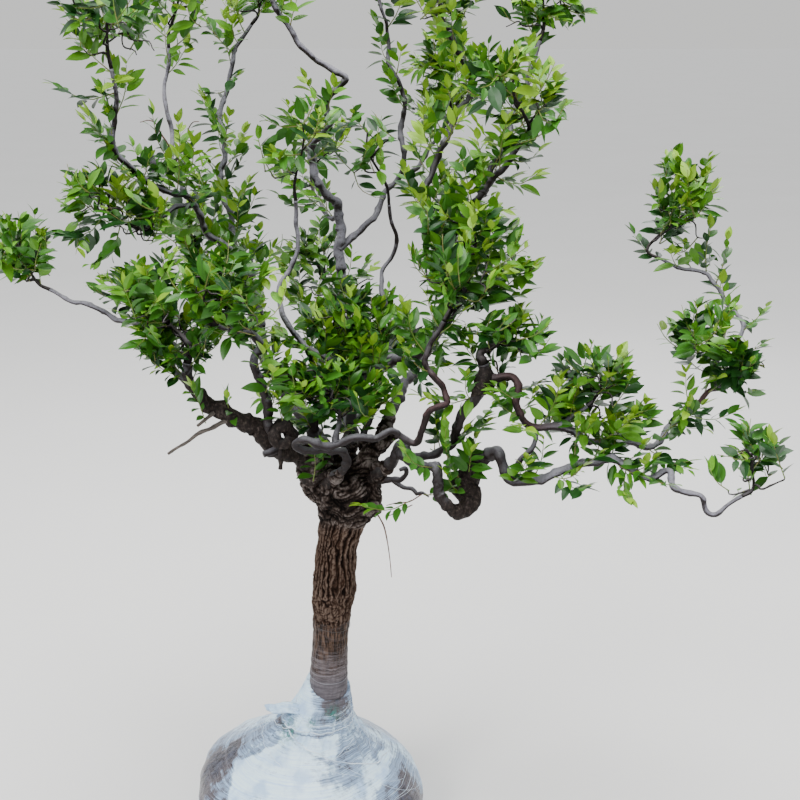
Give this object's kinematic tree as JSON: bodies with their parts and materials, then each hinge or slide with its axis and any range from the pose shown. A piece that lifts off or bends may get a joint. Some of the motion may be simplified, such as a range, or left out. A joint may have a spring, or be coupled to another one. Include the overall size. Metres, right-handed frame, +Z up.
{
  "type": "contorted jujube sapling with wrapped root ball",
  "caption": "Young corkscrew-branched tree with a short fissured trunk, a swollen graft head and leafy twisted boughs, lifted with its root ball bound in clear film.",
  "frame": {"origin": "centre of the root ball's flat underside", "axes": "+Z up along the trunk, -Y towards the front, with the long low boughs reaching to +X"},
  "size_m": [1.3482, 0.7589, 1.6727],
  "materials": {
    "wrapped_soil": "soil ball bound in clear stretch film, milky and glossy where the layers lie thick",
    "film": "clear stretch film in many layers, creased and glossy",
    "old_bark": "rough old bark with long furrows",
    "smooth_bark": "smooth silver-grey bark, dark below",
    "dead_wood": "dry bare wood",
    "shoot": "soft green young bark",
    "leaf": "glossy fresh green with pale veins"
  },
  "bodies": {
    "root": {"root_ball": "wrapped_soil", "film_sleeve": "film", "trunk": "old_bark", "bough_left_low": "smooth_bark", "dead_twig": "dead_wood", "bough_left_rise": "smooth_bark", "bough_front_coil": "smooth_bark", "bough_leader": "smooth_bark", "bough_right_rise": "smooth_bark", "bough_right_loop": "smooth_bark", "bough_right_low": "smooth_bark", "bough_right_reach": "smooth_bark", "bough_far_right_top": "smooth_bark", "bough_back_left": "smooth_bark", "bough_left_sweep": "smooth_bark", "bough_left_tall": "smooth_bark", "bough_left_spire": "smooth_bark", "bough_far_left": "smooth_bark", "bough_left_fork": "smooth_bark", "bough_centre_tall": "smooth_bark", "bough_centre_left": "smooth_bark", "bough_centre_right": "smooth_bark", "bough_inner": "smooth_bark", "bough_right_tall": "smooth_bark", "bough_right_crest": "smooth_bark", "bough_right_spur": "smooth_bark", "bough_front_low": "smooth_bark", "bough_centre_low": "smooth_bark", "bough_back_right": "smooth_bark", "bough_back_low": "smooth_bark", "bough_back_left_spur": "smooth_bark", "bough_back_top_spur": "smooth_bark", "bough_back_high": "smooth_bark", "leaves_left": "leaf", "leaves_left_front": "leaf", "leaves_far_left": "leaf", "leaves_left_upper": "leaf", "leaves_top_left": "leaf", "leaves_left_spire": "leaf", "leaves_left_tall": "leaf", "leaves_centre_left": "leaf", "leaves_centre_tall": "leaf", "leaves_inner": "leaf", "leaves_centre_right": "leaf", "leaves_right_tall": "leaf", "leaves_right_crest": "leaf", "leaves_leader": "leaf", "leaves_right_column": "leaf", "leaves_right_knob": "leaf", "leaves_right_spread": "leaf", "leaves_far_right": "leaf", "leaves_far_right_top": "leaf", "leaves_far_right_low": "leaf", "leaves_centre_low": "leaf", "leaves_front_low": "leaf", "leaves_back_right": "leaf", "leaves_back_low": "leaf", "leaves_back_left": "leaf", "leaves_back_top": "leaf", "leaves_back_high": "leaf"}
  },
  "joints": []
}
